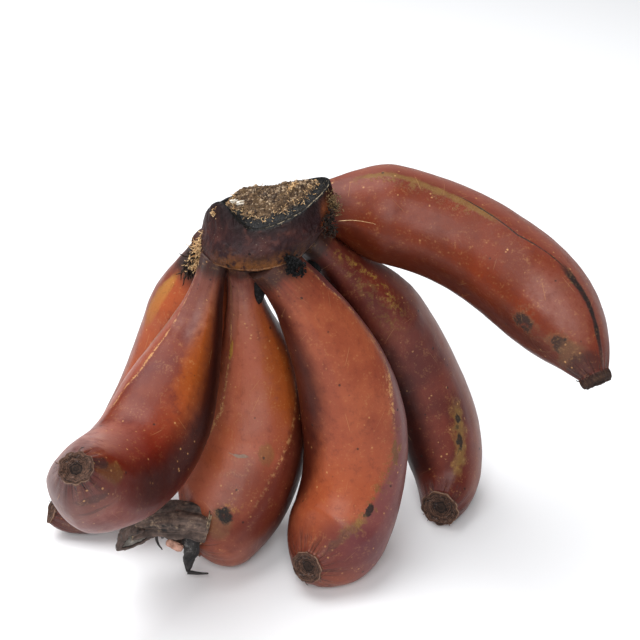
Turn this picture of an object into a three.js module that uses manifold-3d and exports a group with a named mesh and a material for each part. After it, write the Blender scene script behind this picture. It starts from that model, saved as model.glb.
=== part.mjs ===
// Hand of red bananas: six fingers hanging from one crown, standing on their lower ends.
// Units are millimetres, +Z is up, and the fingers' undersides rest on the plane z = 0.

import * as THREE from 'three';
import { mergeVertices } from 'three/addons/utils/BufferGeometryUtils.js';
import Module from 'manifold-3d';

// ---- driving dimensions ----

// A finger follows the cubic curve neck, bow, belly, tip. Its radius swells from the neck share to the
// whole between two shares of its length, and narrows again from taperFrom to the tip share. Its long
// ridges stand at these turns, in degrees round the neck, and lean by ridgeTwist on the way to the tip.
const fingerSizes = [
  { name: 'finger_rear_left', neck: [-43, -51, 133], bow: [-43, -16, 118], belly: [-81, -57, -4],
    tip: [-114, -65, 13], radius: 19.2, neckShare: 0.40, swellFrom: 0.02, swellTo: 0.29,
    taperFrom: 0.70, tipShare: 0.28, ridgeTurns: [344, 56, 128, 200, 272], ridgeTwist: 0 },
  { name: 'finger_front_left', neck: [-40, -62, 135], bow: [-49, -58, 89], belly: [-82, -104, 33],
    tip: [-82, -152, 100], radius: 18.8, neckShare: 0.30, swellFrom: 0.03, swellTo: 0.45,
    taperFrom: 0.66, tipShare: 0.32, ridgeTurns: [40, 110, 190, 262, 322], ridgeTwist: 0 },
  { name: 'finger_front_middle', neck: [-31, -63, 134], bow: [-28, -26, 65],
    belly: [-14, -68, 28.8], tip: [-53.5, -84.5, 16.8], radius: 22.2, neckShare: 0.26,
    swellFrom: 0.08, swellTo: 0.64, taperFrom: 0.91, tipShare: 0.44,
    ridgeTurns: [12, 76, 148, 220, 304], ridgeTwist: 60 },
  { name: 'finger_front_right', neck: [-20, -64, 134], bow: [31, -56, 73], belly: [16, -71, 8],
    tip: [-5, -104, 16], radius: 20.8, neckShare: 0.46, swellFrom: -0.02, swellTo: 0.55,
    taperFrom: 0.83, tipShare: 0.33, ridgeTurns: [31, 103, 175, 247, 319], ridgeTwist: 45 },
  { name: 'finger_rear_right', neck: [-6, -48, 136], bow: [40, -10, 74], belly: [66, -26, 8],
    tip: [52, -60, 11], radius: 18.4, neckShare: 0.40, swellFrom: 0.06, swellTo: 0.39,
    taperFrom: 0.68, tipShare: 0.44, ridgeTurns: [12, 84, 156, 228, 290], ridgeTwist: 25 },
  { name: 'finger_far_right', neck: [-10, -41, 144], bow: [50, -13, 138], belly: [91, -64, 122],
    tip: [104, -88, 97], radius: 19.9, neckShare: 0.47, swellFrom: 0.04, swellTo: 0.27,
    taperFrom: 0.66, tipShare: 0.30, ridgeTurns: [28, 100, 172, 244, 316], ridgeTwist: 0 },
];
const fingerSides = 20;
const fingerStations = 26;
const tipCurve = 2.4; // how late the taper bites
const ridgeHeight = 0.055; // share of the radius
const ridgeWidth = 26; // degrees
const ridgeOnset = [0.08, 0.22]; // where the ridges begin, and over how much of the length they grow
const ridgeEnding = [1.02, 0.12]; // the same at the tip, counted backwards
const ridgeMean = 0.5; // share of the lift taken off all round, so that ridges do not fatten a finger
const rimShare = 1.1; // the blossom end lies past the ridges
const pathDivisions = 400;
const seat = 1.2; // height in this frame of the plane that the resting fingers are pressed flat on
const gap = 0.3; // between neighbours that touch

// The blossom end: share of the tip radius, and height past the tip.
const blossomRim = [[0.97, 0.9], [0.80, 1.6], [0.58, 1.2], [0.42, 0.2]];

// The crown: a cushion of stem with a skin that ends in a lip below and a rim above, round the cut
// flesh. Eight points go round it at each height: left, front left, front, front right, right,
// rear right, rear, rear left.
const crownRings = {
  under: [[-42, -56, 130], [-37, -63, 130], [-26, -68, 130], [-13, -65, 131],
    [-5, -54, 133], [0, -42, 138], [-15, -40, 136], [-34, -46, 135]],
  lip: [[-46, -57, 134], [-40, -68, 134], [-26, -75, 135], [-11, -70, 136],
    [-1, -56, 139], [5, -40, 145], [-16, -36, 141], [-38, -43, 141]],
  bulge: [[-46, -57, 137], [-40, -69, 139], [-26, -76, 140], [-10, -71, 141],
    [2, -56, 147], [7, -38, 148], [-16, -34, 145], [-39, -41, 145]],
  face: [[-44, -56, 143], [-38, -67, 145], [-25, -72, 144], [-8, -69, 147],
    [4, -54, 152], [7, -38, 152], [-16, -34, 149], [-38, -41, 148]],
  rim: [[-42, -53, 148], [-37, -60, 155], [-26, -67, 148], [-9, -66, 153],
    [3, -52, 159], [2, -44, 159], [-14, -35, 152], [-35, -41, 149]],
  wall: [[-39, -52, 147], [-34, -58, 150], [-26, -64, 147], [-11, -62, 151],
    [0, -51, 156], [0, -44, 157], [-14, -38, 151], [-34, -43, 148]],
  fleshEdge: [[-35, -50, 151], [-32, -57, 151], [-25, -61, 150], [-13, -60, 153],
    [-3, -50, 157], [-1, -45, 158], [-14, -39, 154], [-32, -44, 153]],
  fleshTop: [[-31, -50, 153], [-28, -54, 153], [-24, -57, 153], [-14, -56, 155],
    [-6, -49, 157], [-5, -46, 158], [-15, -42, 155], [-28, -46, 154]],
};
const crownSides = 40;
const crownRows = 17;

// The dried flower that still hangs on the front middle finger's tip.
const flowerRoot = [[-50, -83.5, 18.5], [-57, -88, 22], [-62, -92, 28]];
const flowerRootWidths = [6.5, 7, 5];
const flowerBract = [[-45.5, -93.5, 29.5], [-57.5, -93, 31], [-66.6, -93.5, 29.8], [-74.6, -92, 21.7]];
const flowerBractWidths = [6.2, 7.8, 5.4, 6.4];
const flowerTail = [[-51.5, -95.5, 27], [-52.6, -97, 19], [-53.2, -97, 13], [-54, -96.5, 6.5]];
const flowerTailWidths = [3.4, 4.2, 3.2, 1.4];
const flowerSides = 12;
const flowerStations = 10;
const crumpleSize = 0.14; // share of the radius
const crumpleFolds = 3;
const crumpleTwist = 5; // radians from end to end

const skinColour = 0x8a3a22;
const crownColour = 0x3b2620;
const flowerColour = 0x5a473b;

// The block that presses the resting fingers flat.
const blockWidth = 600;
const blockDepth = 100;

// ---- solids ----

const manifoldModule = await Module();
manifoldModule.setup();

function toSolid(geometry) {
  const bare = new THREE.BufferGeometry();
  bare.setAttribute('position', geometry.getAttribute('position'));
  bare.setIndex(geometry.getIndex());
  const merged = mergeVertices(bare, 1e-4);
  const mesh = new manifoldModule.Mesh({
    numProp: 3,
    vertProperties: new Float32Array(merged.getAttribute('position').array),
    triVerts: new Uint32Array(merged.getIndex().array),
  });
  return new manifoldModule.Manifold(mesh);
}

function toMesh(solid, name, colour, roughness) {
  const result = solid.getMesh();
  const geometry = new THREE.BufferGeometry();
  geometry.setAttribute('position', new THREE.BufferAttribute(result.vertProperties, 3));
  geometry.setIndex(new THREE.BufferAttribute(result.triVerts, 1));
  geometry.computeVertexNormals();
  const material = new THREE.MeshStandardMaterial({ color: colour, roughness, metalness: 0 });
  const mesh = new THREE.Mesh(geometry, material);
  mesh.name = name;
  return mesh;
}

// Closed skin over a list of rings, each ring a list of points with the same count.
function skinRings(rings) {
  const sides = rings[0].length;
  const positions = [];
  const index = [];
  for (const ring of rings) {
    for (const point of ring) {
      positions.push(point.x, point.y, point.z);
    }
  }
  for (let row = 0; row < rings.length - 1; row += 1) {
    for (let side = 0; side < sides; side += 1) {
      const a = row * sides + side;
      const b = row * sides + (side + 1) % sides;
      index.push(a, b, b + sides, a, b + sides, a + sides);
    }
  }
  for (const [row, turn] of [[0, -1], [rings.length - 1, 1]]) {
    const middle = new THREE.Vector3();
    for (const point of rings[row]) {
      middle.addScaledVector(point, 1 / sides);
    }
    const hub = positions.length / 3;
    positions.push(middle.x, middle.y, middle.z);
    for (let side = 0; side < sides; side += 1) {
      const a = row * sides + side;
      const b = row * sides + (side + 1) % sides;
      index.push(...(turn > 0 ? [a, b, hub] : [b, a, hub]));
    }
  }
  const geometry = new THREE.BufferGeometry();
  geometry.setAttribute('position', new THREE.Float32BufferAttribute(positions, 3));
  geometry.setIndex(index);
  return geometry;
}

// ---- fingers ----

function fingerRadius(size, share) {
  const rise = THREE.MathUtils.smoothstep(share, size.swellFrom, size.swellTo);
  const fall = Math.max(0, (share - size.taperFrom) / (1 - size.taperFrom)) ** tipCurve;
  return size.radius * (size.neckShare + (1 - size.neckShare) * rise) * (1 - (1 - size.tipShare) * fall);
}

// How far the ridges lift the surface at a share of the length and a turn in degrees.
function ridgeLift(size, share, turn) {
  const onset = THREE.MathUtils.clamp((share - ridgeOnset[0]) / ridgeOnset[1], 0, 1);
  const ending = THREE.MathUtils.clamp((ridgeEnding[0] - share) / ridgeEnding[1], 0, 1);
  const bumps = size.ridgeTurns.map((ridge) => {
    const offset = turn - ridge - size.ridgeTwist * share;
    const away = THREE.MathUtils.euclideanModulo(offset + 180, 360) - 180;
    return Math.exp(-((away / ridgeWidth) ** 2));
  });
  return ridgeHeight * onset * ending * (Math.max(...bumps) - ridgeMean);
}

// A finger's solid; grow makes it that much fatter all round and longer at the neck.
function fingerSolid(size, grow) {
  const corners = [size.neck, size.bow, size.belly, size.tip];
  const [neck, bow, belly, tip] = corners.map((corner) => new THREE.Vector3(...corner));
  const path = new THREE.CubicBezierCurve3(neck, bow, belly, tip);
  path.arcLengthDivisions = pathDivisions;
  const across = belly.clone().sub(neck).cross(tip.clone().sub(belly)).normalize();
  const rings = [];
  const addRing = (centre, along, radius, share) => {
    const out = across.clone().cross(along).normalize();
    const side = along.clone().cross(out);
    const ring = [];
    for (let k = 0; k < fingerSides; k += 1) {
      const angle = (2 * Math.PI * k) / fingerSides;
      const reach = radius * (1 + ridgeLift(size, share, THREE.MathUtils.radToDeg(angle))) + grow;
      ring.push(centre.clone().addScaledVector(out, reach * Math.cos(angle))
        .addScaledVector(side, reach * Math.sin(angle)));
    }
    rings.push(ring);
  };
  for (let row = 0; row < fingerStations; row += 1) {
    const share = row / (fingerStations - 1);
    const centre = path.getPointAt(share);
    const along = path.getTangentAt(share);
    if (row === 0) {
      centre.addScaledVector(along, -grow);
    }
    addRing(centre, along, fingerRadius(size, share), share);
  }
  const end = path.getTangentAt(1);
  for (const [share, height] of blossomRim) {
    const centre = tip.clone().addScaledVector(end, height + grow);
    addRing(centre, end, fingerRadius(size, 1) * share, rimShare);
  }
  return toSolid(skinRings(rings));
}

// ---- crown ----

function crownSolid() {
  const levels = Object.values(crownRings);
  const columns = levels[0].map((corner, k) => {
    const points = levels.map((level) => new THREE.Vector3(...level[k]));
    return new THREE.CatmullRomCurve3(points);
  });
  const rings = [];
  for (let row = 0; row < crownRows; row += 1) {
    const corners = columns.map((column) => column.getPoint(row / (crownRows - 1)));
    const loop = new THREE.CatmullRomCurve3(corners, true);
    const ring = [];
    for (let k = 0; k < crownSides; k += 1) {
      ring.push(loop.getPoint(k / crownSides));
    }
    rings.push(ring);
  }
  return toSolid(skinRings(rings));
}

// ---- dried flower ----

function taperedSolid(points, widths) {
  const path = new THREE.CatmullRomCurve3(points.map((p) => new THREE.Vector3(...p)));
  const rings = [];
  for (let row = 0; row < flowerStations; row += 1) {
    const share = row / (flowerStations - 1);
    const centre = path.getPoint(share);
    const along = path.getTangent(share);
    const side = along.clone().cross(new THREE.Vector3(0, 0, 1)).normalize();
    const up = along.clone().cross(side);
    const place = share * (widths.length - 1);
    const step = Math.min(Math.floor(place), widths.length - 2);
    const radius = THREE.MathUtils.lerp(widths[step], widths[step + 1], place - step);
    const ring = [];
    for (let k = 0; k < flowerSides; k += 1) {
      const angle = (2 * Math.PI * k) / flowerSides;
      const crumple = 1 + crumpleSize * Math.cos(crumpleFolds * angle + crumpleTwist * share);
      const reach = radius * crumple;
      ring.push(centre.clone().addScaledVector(side, reach * Math.cos(angle))
        .addScaledVector(up, reach * Math.sin(angle)));
    }
    rings.push(ring);
  }
  return toSolid(skinRings(rings));
}

// ---- the hand ----

const below = new THREE.BoxGeometry(blockWidth, blockWidth, blockDepth).toNonIndexed();
below.translate(0, 0, seat - blockDepth / 2);
below.setIndex([...Array(below.getAttribute('position').count).keys()]);
const underside = toSolid(below);

const hand = new THREE.Group();
let taken = null;
for (const size of fingerSizes) {
  let solid = fingerSolid(size, 0).subtract(underside);
  if (taken) {
    solid = solid.subtract(taken);
  }
  const grown = fingerSolid(size, gap);
  taken = taken ? taken.add(grown) : grown;
  hand.add(toMesh(solid, size.name, skinColour, 0.45));
}
hand.add(toMesh(crownSolid().subtract(taken), 'crown', crownColour, 0.9));
const root = taperedSolid(flowerRoot, flowerRootWidths);
const bract = taperedSolid(flowerBract, flowerBractWidths);
const flower = root.add(bract).add(taperedSolid(flowerTail, flowerTailWidths));
hand.add(toMesh(flower.subtract(taken).subtract(underside), 'dried_flower', flowerColour, 0.95));

// The origin is under the middle of the hand, on the resting plane.
const bounds = new THREE.Box3().setFromObject(hand);
const middle = bounds.getCenter(new THREE.Vector3());
hand.position.set(-middle.x, -middle.y, -bounds.min.z);

export default hand;
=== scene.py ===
import math
import random

import bmesh
import bpy
import numpy as np
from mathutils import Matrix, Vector, noise


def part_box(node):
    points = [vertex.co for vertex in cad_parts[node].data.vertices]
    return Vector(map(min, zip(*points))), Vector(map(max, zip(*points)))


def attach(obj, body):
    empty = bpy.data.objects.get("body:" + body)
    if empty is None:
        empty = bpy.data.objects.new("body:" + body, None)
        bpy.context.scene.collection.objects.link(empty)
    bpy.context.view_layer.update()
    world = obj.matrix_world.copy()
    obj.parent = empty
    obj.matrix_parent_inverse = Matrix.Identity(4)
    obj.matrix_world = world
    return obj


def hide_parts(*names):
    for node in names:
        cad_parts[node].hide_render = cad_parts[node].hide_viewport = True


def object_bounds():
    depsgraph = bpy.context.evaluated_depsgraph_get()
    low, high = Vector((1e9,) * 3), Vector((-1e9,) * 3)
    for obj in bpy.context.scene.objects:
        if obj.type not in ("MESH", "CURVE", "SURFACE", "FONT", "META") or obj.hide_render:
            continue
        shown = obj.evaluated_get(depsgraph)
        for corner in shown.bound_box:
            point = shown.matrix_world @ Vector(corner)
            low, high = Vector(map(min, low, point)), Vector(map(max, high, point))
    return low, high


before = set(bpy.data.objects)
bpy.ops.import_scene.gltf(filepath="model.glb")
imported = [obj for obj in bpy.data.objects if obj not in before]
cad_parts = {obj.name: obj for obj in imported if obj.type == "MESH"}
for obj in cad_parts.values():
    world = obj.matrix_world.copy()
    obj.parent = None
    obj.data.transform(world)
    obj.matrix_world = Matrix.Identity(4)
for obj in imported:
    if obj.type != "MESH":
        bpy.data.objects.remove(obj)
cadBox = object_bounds()
mm = 0.001
print("frame loaded, box", cadBox)


class Wire:  # a socket that reads as a plain number, vector or colour
    def __init__(self, finish, socket):
        self.finish = finish
        self.socket = socket

    def maths(self, operation, first, second=None):
        values = {0: first} if second is None else {0: first, 1: second}
        return self.finish.node("ShaderNodeMath", {"operation": operation}, values)

    def __add__(self, other):
        return self.maths("ADD", self, other)

    __radd__ = __add__

    def __sub__(self, other):
        return self.maths("SUBTRACT", self, other)

    def __rsub__(self, other):
        return self.maths("SUBTRACT", other, self)

    def __mul__(self, other):
        return self.maths("MULTIPLY", self, other)

    __rmul__ = __mul__

    def __truediv__(self, other):
        return self.maths("DIVIDE", self, other)

    def __rtruediv__(self, other):
        return self.maths("DIVIDE", other, self)

    def __mod__(self, other):
        return self.maths("FLOORED_MODULO", self, other)

    def __abs__(self):
        return self.maths("ABSOLUTE", self)

    def most(self, other):
        return self.maths("MAXIMUM", self, other)

    def least(self, other):
        return self.maths("MINIMUM", self, other)

    def step(self, low, high):  # 0 at low, 1 at high, smooth between; low may be the larger
        mapped = {"Value": self, "From Min": low, "From Max": high}
        return self.finish.node("ShaderNodeMapRange", {"interpolation_type": "SMOOTHSTEP"}, mapped)

    def other(self, output):  # another output of the same node
        return Wire(self.finish, self.socket.node.outputs[output])

    def part(self, name):  # one component of a vector
        return self.finish.node("ShaderNodeSeparateXYZ", {}, {0: self}, name)


class Finish:  # a material under way; each method adds nodes and hands back a wire
    def __init__(self, name):
        self.material = bpy.data.materials.new(name)
        self.material.use_nodes = True
        self.tree = self.material.node_tree
        self.tree.nodes.clear()
        self.position = self.node("ShaderNodeTexCoord", {}, {}, "Object")

    def node(self, kind, settings, values, output=0):
        made = self.tree.nodes.new(kind)
        for key, value in settings.items():
            setattr(made, key, value)
        for key, value in values.items():
            if isinstance(value, Wire):
                self.tree.links.new(value.socket, made.inputs[key])
            elif isinstance(value, (tuple, list)) and made.inputs[key].type == "RGBA":
                made.inputs[key].default_value = (*value, 1)
            else:
                made.inputs[key].default_value = value
        return Wire(self, made.outputs[output])

    def reading(self, name, output="Fac"):
        return self.node("ShaderNodeAttribute", {"attribute_name": name}, {}, output)

    def noise(self, scale, detail=2.0, roughness=0.5, at=None, distortion=0.0):
        values = {"Vector": at or self.position, "Scale": scale, "Detail": detail,
                  "Roughness": roughness, "Distortion": distortion}
        return self.node("ShaderNodeTexNoise", {}, values)

    def cells(self, scale, at=None):
        return self.node("ShaderNodeTexVoronoi", {}, {"Vector": at or self.position, "Scale": scale})

    def specks(self, scale, size, rag=0.0, seed=0.0):  # uneven dots, 1 inside
        return (self.cells(scale, self.moved(seed)) + rag).step(size, size * 0.5)

    def moved(self, seed):  # the same place in another part of the noise
        return self.vector("ADD", self.position, (seed, seed * 0.7, -seed))

    def vector(self, operation, first, second=None, output="Vector"):
        values = {0: first} if second is None else {0: first, 1: second}
        return self.node("ShaderNodeVectorMath", {"operation": operation}, values, output)

    def scratches(self, scale, reach, width, share, seed=0.0):  # straight, hair-thin and at any angle
        at = self.moved(seed)
        cell = self.cells(scale, at)
        random = cell.other("Color")
        offset = self.vector("SUBTRACT", at, cell.other("Position"))
        across = self.vector("SUBTRACT", random, (0.5, 0.5, 0.5))
        away = abs(self.vector("DOT_PRODUCT", offset, across, "Value"))
        near = self.vector("LENGTH", offset, None, "Value").step(reach, reach * 0.6)
        kept = random.part("X").step(1 - share, 1.02 - share)
        return away.step(width, width * 0.4) * near * kept

    def awayFrom(self, start, end):  # metres from a straight line between two points given in mm
        start, end = [np.array(p, float) * mm for p in (start, end)]
        run = end - start
        offset = self.vector("SUBTRACT", self.position, tuple(start))
        along = self.vector("DOT_PRODUCT", offset, tuple(run), "Value") * (1 / float(run @ run))
        reached = self.vector("SCALE", tuple(run))
        self.tree.links.new(along.most(0).least(1).socket, reached.socket.node.inputs["Scale"])
        return self.vector("LENGTH", self.vector("SUBTRACT", offset, reached), None, "Value")

    def joined(self, x, y, z):
        return self.node("ShaderNodeCombineXYZ", {}, {0: x, 1: y, 2: z})

    def blend(self, mask, below, above, mode="MIX"):
        settings = {"data_type": "RGBA", "blend_type": mode}
        return self.node("ShaderNodeMix", settings, {0: mask, 6: below, 7: above}, 2)

    def bump(self, height, depth, strength=1.0):  # depth in metres
        return self.node("ShaderNodeBump", {}, {"Height": height, "Distance": depth, "Strength": strength})

    def close(self, values):
        shader = self.node("ShaderNodeBsdfPrincipled", {}, values)
        out = self.tree.nodes.new("ShaderNodeOutputMaterial")
        self.tree.links.new(shader.socket, out.inputs["Surface"])
        return self.material


def paint(red, green, blue):  # screen colour, 0 to 255, as a linear one
    screen = [red / 255, green / 255, blue / 255]
    return tuple(c / 12.92 if c < 0.04 else ((c + 0.055) / 1.055) ** 2.4 for c in screen)


def smooth(value, low, high):  # the same as Wire.step, for arrays
    t = np.clip((value - low) / (high - low), 0, 1)
    return t * t * (3 - 2 * t)


def grain(points, scale, seed=0.0):  # smooth noise from -1 to 1 at an array of points
    flat = np.asarray(points, float).reshape(-1, 3) / scale + seed
    values = [noise.noise(Vector(p)) for p in flat]
    return np.array(values).reshape(np.shape(points)[:-1])


def skinOver(name, rows, readings=None, material=None, node=None, closed=(True, True)):
    # rows is rings x sides x 3 in the part's frame, mm; readings are point attributes of the same grid
    rings, sides = rows.shape[:2]
    points = rows.reshape(-1, 3)
    a = np.arange(rings - 1)[:, None] * sides + np.arange(sides)[None, :]
    b = np.arange(rings - 1)[:, None] * sides + (np.arange(sides)[None, :] + 1) % sides
    quads = np.stack([a, b, b + sides, a + sides], -1).reshape(-1, 4).tolist()
    hubs = []
    if closed[0]:
        hubs.append((0, False))
    if closed[1]:
        hubs.append((rings - 1, True))
    extra = []
    for row, forward in hubs:
        hub = len(points) + len(extra)
        extra.append(rows[row].mean(0))
        for k in range(sides):
            first, second = row * sides + k, row * sides + (k + 1) % sides
            quads.append([first, second, hub] if forward else [second, first, hub])
    if extra:
        points = np.vstack([points, extra])
    mesh = bpy.data.meshes.new(name)
    mesh.from_pydata((points * mm).tolist(), [], quads)
    for key, grid in (readings or {}).items():
        wide = grid.reshape(rings * sides, -1)
        ends = [grid[row].reshape(sides, -1).mean(0) for row, _ in hubs]
        wide = np.vstack([wide, *[e[None] for e in ends]]) if ends else wide
        kind, slotName = ("FLOAT_VECTOR", "vector") if wide.shape[1] == 3 else ("FLOAT", "value")
        mesh.attributes.new(key, kind, "POINT").data.foreach_set(slotName, wide.astype(np.float32).ravel())
    mesh.shade_smooth()
    return piece(name, mesh, material, node)


def evenRound(values, sides):  # a reading for skinOver that is the same all round each ring
    return np.repeat(np.asarray(values)[:, None], sides, 1)[:, :, None]


def piece(name, mesh, material, node):
    made = bpy.data.objects.new(name, mesh)
    bpy.context.scene.collection.objects.link(made)
    if material:
        mesh.materials.append(material)
    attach(made, "root")
    if node:
        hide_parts(node)
    return made


# A finger follows the same curve, swelling, taper and ridges as its solid. Fuller places are given by
# share of the length, turn round it in degrees, how far they reach along and round, and height in mm.
# Bristles are those of the blossom end, and stub makes that end taller.
ripple = {"ridgeHeight": 0.055, "ridgeWidth": 26, "tipCurve": 2.4, "seat": 1.2}
fingers = {
    "finger_rear_left": {
        "path": [(-43, -51, 133), (-43, -16, 118), (-81, -57, -4), (-114, -65, 13)],
        "radius": 19.2, "neckShare": 0.40, "swell": (0.02, 0.29), "taperFrom": 0.70, "tipShare": 0.28,
        "ridges": [344, 56, 128, 200, 272], "twist": 0, "bristles": 7},
    "finger_front_left": {
        "path": [(-40, -62, 135), (-49, -58, 89), (-82, -104, 33), (-82, -152, 100)],
        "radius": 18.8, "neckShare": 0.30, "swell": (0.03, 0.45), "taperFrom": 0.66, "tipShare": 0.32,
        "ridges": [40, 110, 190, 262, 322], "twist": 0, "bristles": 5,
        "fuller": [(0.56, 268, 0.17, 42, 3.4)]},
    "finger_front_middle": {
        "path": [(-31, -63, 134), (-28, -26, 65), (-14, -68, 28.8), (-53.5, -84.5, 16.8)],
        "radius": 22.2, "neckShare": 0.26, "swell": (0.08, 0.64), "taperFrom": 0.91, "tipShare": 0.44,
        "ridges": [12, 76, 148, 220, 304], "twist": 60, "bristles": 0,
        "fuller": [(0.78, 8, 0.16, 50, 3.3), (0.36, 205, 0.10, 40, 1.3)]},
    "finger_front_right": {
        "path": [(-20, -64, 134), (31, -56, 73), (16, -71, 8), (-5, -104, 16)],
        "radius": 20.8, "neckShare": 0.46, "swell": (-0.02, 0.55), "taperFrom": 0.83, "tipShare": 0.33,
        "ridges": [31, 103, 175, 247, 319], "twist": 45, "bristles": 9,
        "fuller": [(0.22, 15, 0.10, 40, 1.3), (0.68, 250, 0.22, 40, 1.5)]},
    "finger_rear_right": {
        "path": [(-6, -48, 136), (40, -10, 74), (66, -26, 8), (52, -60, 11)],
        "radius": 18.4, "neckShare": 0.40, "swell": (0.06, 0.39), "taperFrom": 0.68, "tipShare": 0.44,
        "ridges": [12, 84, 156, 228, 290], "twist": 25, "bristles": 16},
    "finger_far_right": {
        "path": [(-10, -41, 144), (50, -13, 138), (91, -64, 122), (104, -88, 97)],
        "radius": 19.9, "neckShare": 0.47, "swell": (0.04, 0.27), "taperFrom": 0.66, "tipShare": 0.30,
        "ridges": [28, 100, 172, 244, 316], "twist": 0, "stub": 2.8, "bristles": 14},
}


def curvePoint(corners, t):
    a, b, c, d = [np.array(p, float) for p in corners]
    t = np.asarray(t)[:, None]
    point = (1 - t) ** 3 * a + 3 * (1 - t) ** 2 * t * b + 3 * (1 - t) * t * t * c + t ** 3 * d
    along = (1 - t) ** 2 * (b - a) + 2 * (1 - t) * t * (c - b) + t * t * (d - c)
    return point, along / np.linalg.norm(along, axis=1, keepdims=True)


def fingerAxis(size, shares):  # even arc length along the curve
    fine = np.linspace(0, 1, 401)
    points = curvePoint(size["path"], fine)[0]
    gone = np.concatenate([[0], np.cumsum(np.linalg.norm(np.diff(points, axis=0), axis=1))])
    t = np.interp(np.clip(shares, 0, 1) * gone[-1], gone, fine)
    centre, along = curvePoint(size["path"], t)
    beyond = np.asarray(shares) - np.clip(shares, 0, 1)
    return centre + along * (beyond * gone[-1])[:, None], along, gone[-1]


def fingerFrame(size, shares):
    centre, along, length = fingerAxis(size, shares)
    neck, _, belly, tip = [np.array(p, float) for p in size["path"]]
    across = np.cross(belly - neck, tip - belly)
    across /= np.linalg.norm(across)
    out = np.cross(across, along)
    out /= np.linalg.norm(out, axis=1, keepdims=True)
    return centre, along, out, np.cross(along, out), length


def fingerRadius(size, shares):
    rise = smooth(shares, *size["swell"])
    fall = np.clip((shares - size["taperFrom"]) / (1 - size["taperFrom"]), 0, None) ** ripple["tipCurve"]
    neck = size["neckShare"]
    return size["radius"] * (neck + (1 - neck) * rise) * (1 - (1 - size["tipShare"]) * fall)


def ridgeAway(size, shares, turns):  # degrees from the nearest ridge
    ridges = np.array(size["ridges"])[:, None, None] + size["twist"] * shares[None, :, None]
    return np.abs((turns[None, None, :] - ridges + 180) % 360 - 180).min(0)


def ridgeLift(size, shares, turns, width):
    onset = np.clip((shares - 0.08) / 0.22, 0, 1)
    ending = np.clip((1.02 - shares) / 0.12, 0, 1)
    bump = np.exp(-(ridgeAway(size, shares, turns) / width) ** 2)
    return ripple["ridgeHeight"] * (onset * ending)[:, None] * (bump - 0.5)


def ringsOf(centre, out, side, reach, turns):
    angle = np.radians(turns)
    spoke = out[:, None, :] * np.cos(angle)[None, :, None] + side[:, None, :] * np.sin(angle)[None, :, None]
    return centre[:, None, :] + spoke * reach[:, :, None]


def coarseFinger(size):  # as in the solid, to find where the part's frame lies
    shares, turns = np.linspace(0, 1, 26), np.arange(20) * 18.0
    centre, _, out, side, _ = fingerFrame(size, shares)
    reach = fingerRadius(size, shares)[:, None] * (1 + ridgeLift(size, shares, turns, ripple["ridgeWidth"]))
    return ringsOf(centre, out, side, reach, turns)


def findShift():  # from the frame of the fingers' curves to the part's frame, mm
    moves = []
    for name in ("finger_rear_left", "finger_far_right"):
        low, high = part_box(name)
        points = coarseFinger(fingers[name]).reshape(-1, 3)
        moves.append((np.array(low) + np.array(high)) / mm - points.min(0) - points.max(0))
    x = (moves[0][0] + moves[1][0]) / 4
    y = (moves[0][1] + moves[1][1]) / 4
    return np.array([x, y, -ripple["seat"]])


shift = findShift()
print("shift", shift)
low, high = [np.array(corner) / mm for corner in cadBox]
inside = 0.02


def placed(points):  # into the part's frame, mm, and never outside the solid's box
    return np.clip(points + shift, low + inside, high - inside)


# The blossom end: share of the tip radius, and height past the tip.
discProfile = [(1.0, 0.0), (1.03, 0.6), (0.98, 1.2), (0.88, 1.5), (0.78, 1.2), (0.68, 0.6),
               (0.56, 0.1), (0.42, -0.3), (0.22, -0.2), (0.06, 0.1)]
detail = {"stations": 190, "sides": 96, "discRings": 26, "inset": 0.15,
          "lump": 0.45, "lumpScale": 24, "small": 0.12, "smallScale": 6,
          "crest": 0.22, "crestWidth": 5, "crease": 0.55, "pucker": 0.45, "folds": 9,
          "torn": 0.6, "tornScale": 2.2, "tornFine": 0.35, "tornFineScale": 1.0}
bristle = {"from": (0.55, 0.95), "up": 0.3, "length": (1.5, 4.5), "curl": 0.25, "points": 8,
           "thick": (0.22, 0.42), "fine": 0.12}
bristles = []


def tubes(name, strands, material, node, sides=6):
    # each strand is a list of points, mm, and a list of radii; all go into one mesh
    points, quads = [], []
    for path, widths in strands:
        path = np.array(path, float)
        ahead = np.gradient(path, axis=0)
        ahead /= np.maximum(np.linalg.norm(ahead, axis=1, keepdims=True), 1e-9)
        helper = np.array([0, 0, 1.0]) if abs(ahead[0][2]) < 0.9 else np.array([1.0, 0, 0])
        side = np.cross(ahead, helper)
        side /= np.maximum(np.linalg.norm(side, axis=1, keepdims=True), 1e-9)
        up = np.cross(side, ahead)
        angle = 2 * math.pi * np.arange(sides) / sides
        spoke = side[:, None] * np.cos(angle)[None, :, None] + up[:, None] * np.sin(angle)[None, :, None]
        ring = path[:, None] + spoke * np.array(widths)[:, None, None]
        start = len(points)
        points.extend(placed(ring).reshape(-1, 3))
        for row in range(len(path) - 1):
            for k in range(sides):
                a, b = start + row * sides + k, start + row * sides + (k + 1) % sides
                quads.append([a, b, b + sides, a + sides])
        quads.append([start + k for k in reversed(range(sides))])
        quads.append([start + (len(path) - 1) * sides + k for k in range(sides)])
    mesh = bpy.data.meshes.new(name)
    mesh.from_pydata((np.array(points) * mm).tolist(), [], quads)
    mesh.shade_smooth()
    return piece(name, mesh, material, node)


def wander(draw, start, heading, length, curl, steps=9, thick=0.2, fine=0.05, sag=0.0):
    # a fibre that sets off from start and turns at random
    point, ahead = np.array(start, float), np.array(heading, float)
    ahead /= np.linalg.norm(ahead)
    path, widths = [point], [thick]
    for step in range(1, steps):
        ahead = ahead + np.array([draw.gauss(0, curl) for _ in range(3)]) + np.array([0, 0, -sag])
        ahead /= np.linalg.norm(ahead)
        point = point + ahead * length / steps
        path.append(point)
        widths.append(thick + (fine - thick) * step / (steps - 1))
    return path, widths


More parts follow.
